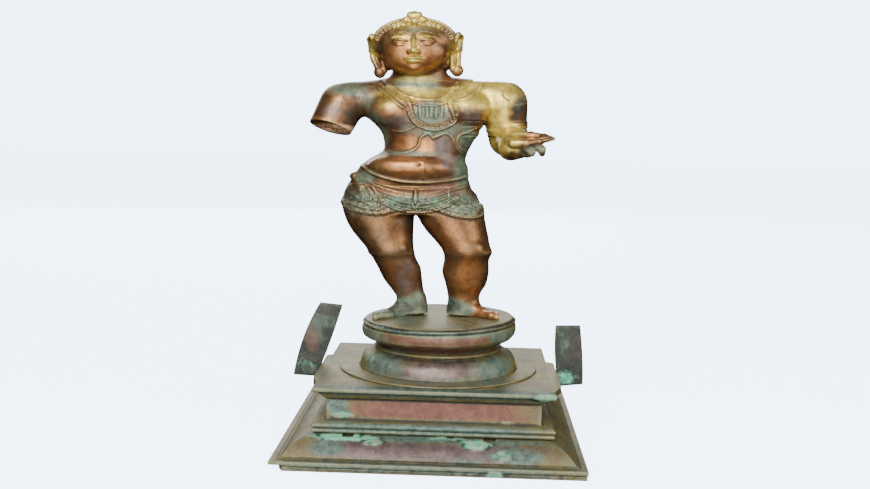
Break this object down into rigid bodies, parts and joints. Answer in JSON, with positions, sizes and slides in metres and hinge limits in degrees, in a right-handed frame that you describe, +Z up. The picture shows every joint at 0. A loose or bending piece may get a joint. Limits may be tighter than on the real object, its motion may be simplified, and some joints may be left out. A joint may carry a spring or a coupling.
{
  "type": "thirugnanasambandar figure",
  "caption": "Standing cast bronze child saint with one forearm broken off, on a round lotus pedestal and a square stepped plinth with two stubs of a lost arch.",
  "frame": {"origin": "on the underside of the slab, on the plinth's middle line and half way between the top plate's front and back edges", "axes": "+Z up from the underside to the top of the head, +X to the viewer's right as seen from the front, +Y to the back; the figure faces -Y"},
  "size_m": [0.3285, 0.355, 0.4706],
  "materials": {
    "figure_bronze": "patinated bronze, polished copper-brown on the raised skin, green-grey in the hollows",
    "plinth_bronze": "dull olive-brown patina with grey-violet and turquoise corrosion",
    "stub_bronze": "dark grey-green patina"
  },
  "bodies": {
    "root": {"plinth": "plinth_bronze", "figure_on_lotus_pedestal": "figure_bronze", "aureole_stub_left": "stub_bronze", "aureole_stub_right": "stub_bronze"}
  },
  "joints": []
}
